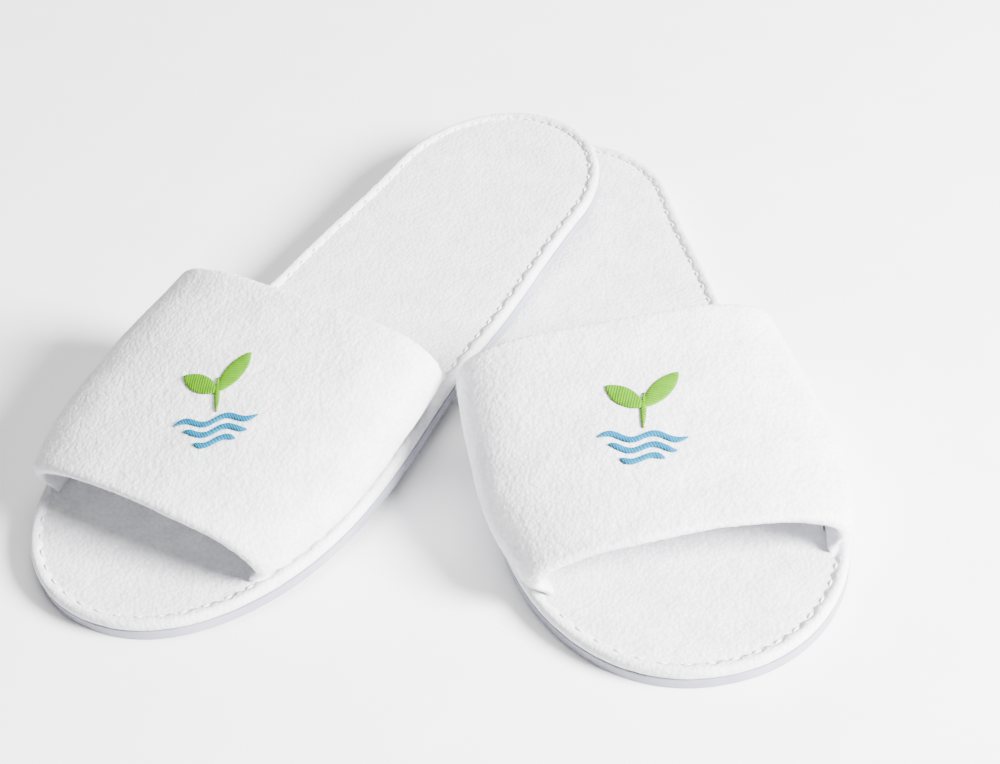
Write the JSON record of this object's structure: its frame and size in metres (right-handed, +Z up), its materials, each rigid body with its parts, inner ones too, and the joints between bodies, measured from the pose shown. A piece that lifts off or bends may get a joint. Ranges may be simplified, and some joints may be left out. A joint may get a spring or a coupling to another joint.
{
  "type": "spa slippers",
  "caption": "Pair of open-toe terry spa slippers with a padded foot band on a thin foam sole, lying crossed at the heels.",
  "frame": {"origin": "middle of the right slipper's outsole face on the floor, halfway along its length", "axes": "+Z up from the floor, -Y toward the right slipper's toe, X across the right slipper"},
  "size_m": [0.2679, 0.2929, 0.0554],
  "materials": {
    "terry": "soft white terry pile",
    "eva_foam": "smooth moulded foam, matt",
    "fibre_board": "matt fibre board",
    "padding_foam": "open-cell foam",
    "lining": "plain woven lining",
    "thread": "white sewing thread",
    "green_embroidery": "satin-stitch embroidery",
    "blue_embroidery": "satin-stitch embroidery"
  },
  "bodies": {
    "right_slipper": {"right_outsole": "eva_foam", "right_stiffener_board": "fibre_board", "right_insole_foam": "padding_foam", "right_insole_cover": "terry", "right_edge_binding": "terry", "right_binding_stitches": "thread", "right_vamp_terry": "terry", "right_vamp_foam": "padding_foam", "right_vamp_lining": "lining", "right_emblem_sprig": "green_embroidery", "right_emblem_waves": "blue_embroidery"},
    "right_toe": {"right_outsole_toe": "eva_foam", "right_stiffener_board_toe": "fibre_board", "right_insole_foam_toe": "padding_foam", "right_insole_cover_toe": "terry", "right_edge_binding_toe": "terry", "right_binding_stitches_toe": "thread"},
    "left_slipper": {"left_outsole": "eva_foam", "left_stiffener_board": "fibre_board", "left_insole_foam": "padding_foam", "left_insole_cover": "terry", "left_edge_binding": "terry", "left_binding_stitches": "thread", "left_vamp_terry": "terry", "left_vamp_foam": "padding_foam", "left_vamp_lining": "lining", "left_emblem_sprig": "green_embroidery", "left_emblem_waves": "blue_embroidery"},
    "left_toe": {"left_outsole_toe": "eva_foam", "left_stiffener_board_toe": "fibre_board", "left_insole_foam_toe": "padding_foam", "left_insole_cover_toe": "terry", "left_edge_binding_toe": "terry", "left_binding_stitches_toe": "thread"}
  },
  "joints": [
    {"name": "left_slipper_lift", "type": "slide", "parent": "right_slipper", "child": "left_slipper", "axis": [0, 0, 1], "range_m": [0, 0.12]},
    {"name": "right_toe_flex", "type": "hinge", "parent": "right_slipper", "child": "right_toe", "pos_m": [0, -0.11051, 0.0081], "axis": [-1, 0, 0], "range_deg": [0, 45], "stiffness_Nm_per_rad": 0.02},
    {"name": "left_toe_flex", "type": "hinge", "parent": "left_slipper", "child": "left_toe", "pos_m": [-0.16128, -0.0516, 0.00976], "axis": [-0.7615, 0.6481, 0], "range_deg": [0, 45], "stiffness_Nm_per_rad": 0.02}
  ]
}
